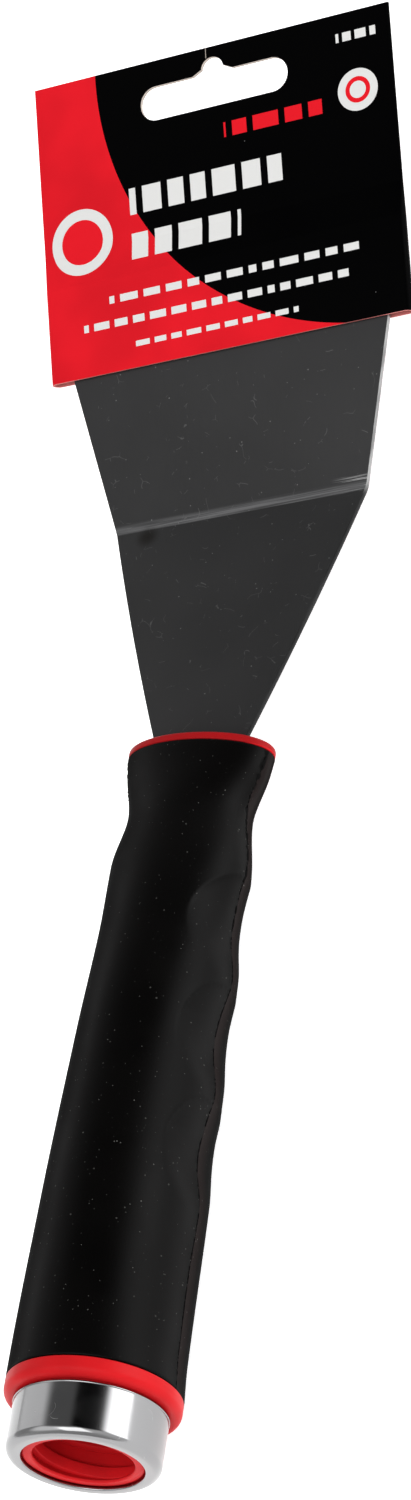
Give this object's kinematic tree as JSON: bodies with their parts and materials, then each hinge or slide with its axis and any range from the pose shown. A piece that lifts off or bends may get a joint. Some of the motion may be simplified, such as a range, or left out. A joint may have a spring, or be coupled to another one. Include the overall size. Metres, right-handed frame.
{
  "type": "pole scraper",
  "caption": "Bent-blade scraper with a two-tone moulded handle, a chromed butt ring round a socket for a pole, and a hang card over its edge.",
  "frame": {"origin": "centre of the flat floor of the pole socket, where the pole's end seats", "axes": "+Y runs along the handle from the pole to the scraping edge, +Z is the side that the blade bends to, +X is the finger side of the grip"},
  "size_m": [0.0778, 0.2785, 0.0558],
  "materials": {
    "spring_steel": "dark blued spring steel, satin, with faint scratches",
    "red_plastic": "semi-gloss red moulding",
    "black_overmould": "fine matte soft overmould",
    "chromed_steel": "bright chrome plate",
    "printed_board": "semi-gloss printed card in red and black"
  },
  "bodies": {
    "scraper": {"blade": "spring_steel", "handle_core": "red_plastic", "grip": "black_overmould", "ferrule": "chromed_steel"},
    "card": {"hang_card": "printed_board"}
  },
  "joints": [
    {"name": "card_slide", "type": "slide", "parent": "scraper", "child": "card", "axis": [0, 0.9033, 0.4289], "range_m": [0, 0.03]}
  ]
}
